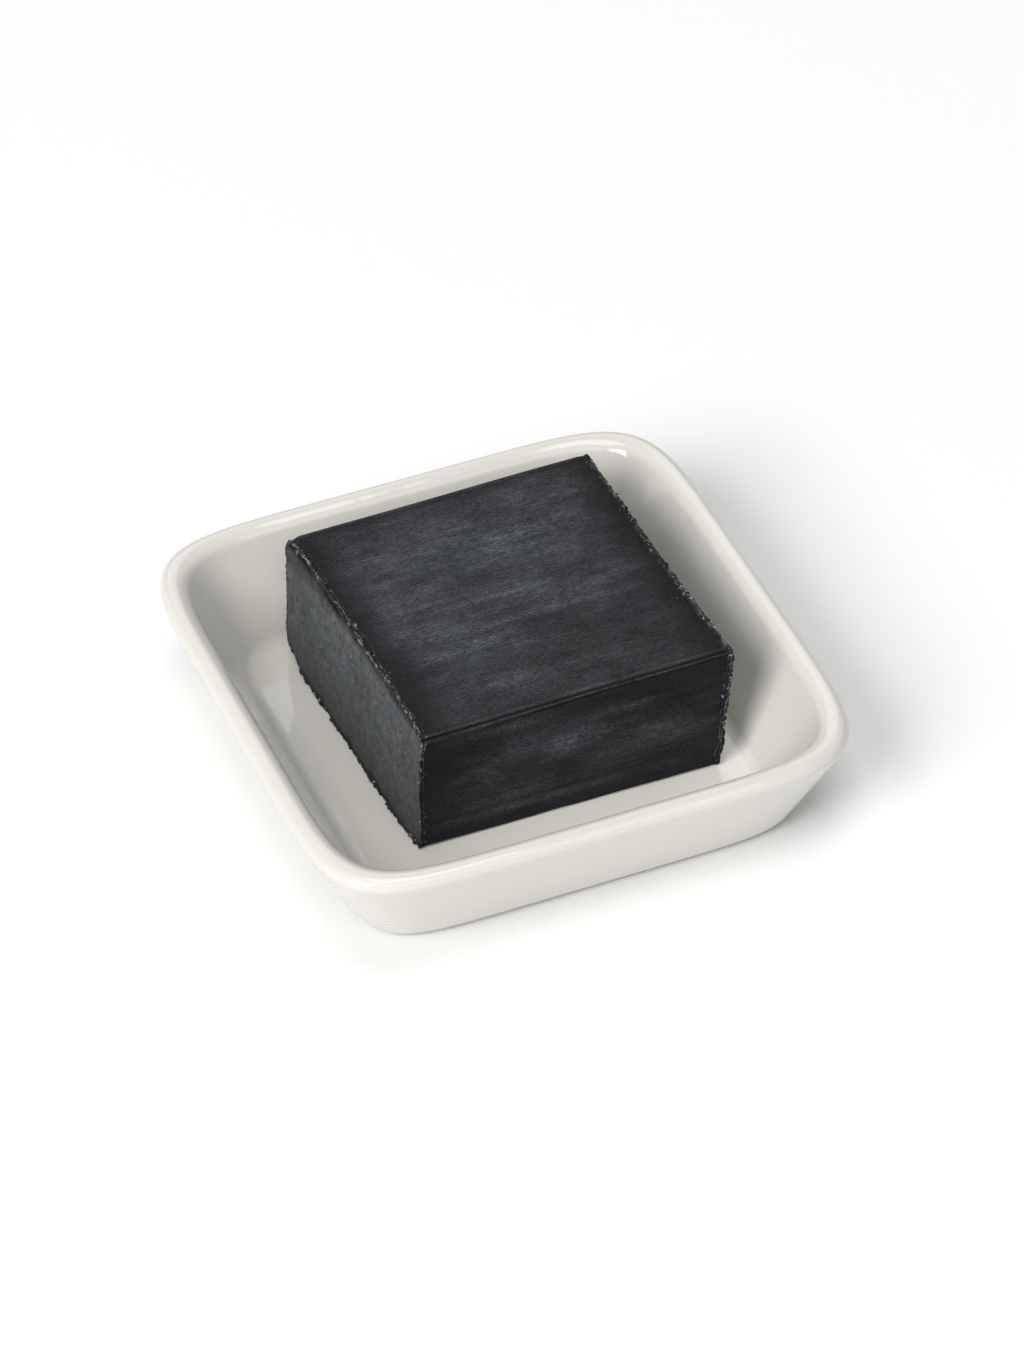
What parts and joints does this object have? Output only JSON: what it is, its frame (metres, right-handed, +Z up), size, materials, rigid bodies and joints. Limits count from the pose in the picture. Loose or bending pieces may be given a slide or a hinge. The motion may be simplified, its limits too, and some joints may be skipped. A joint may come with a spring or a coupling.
{
  "type": "charcoal bar with dish",
  "caption": "Thick square bar of black charcoal, cast and knife-cut, lying loose in a square off-white glazed dish with flared walls, a rounded lip and a flat floor.",
  "frame": {"origin": "on the ground under the centre of the dish", "axes": "+X along the dish's front from left to right, +Y from front to back, +Z up"},
  "size_m": [0.116, 0.1192, 0.0322],
  "materials": {
    "glaze": "clear glossy glaze over an off-white body, bare and matte under the foot ring",
    "charcoal": "matte blue-black with fine grey streaks and crumbly cut edges"
  },
  "bodies": {
    "dish": {"dish": "glaze"},
    "bar": {"charcoal_bar": "charcoal"}
  },
  "joints": [
    {"name": "bar_lift", "type": "slide", "parent": "dish", "child": "bar", "axis": [0, 0, 1], "range_m": [0, 0.05]}
  ]
}
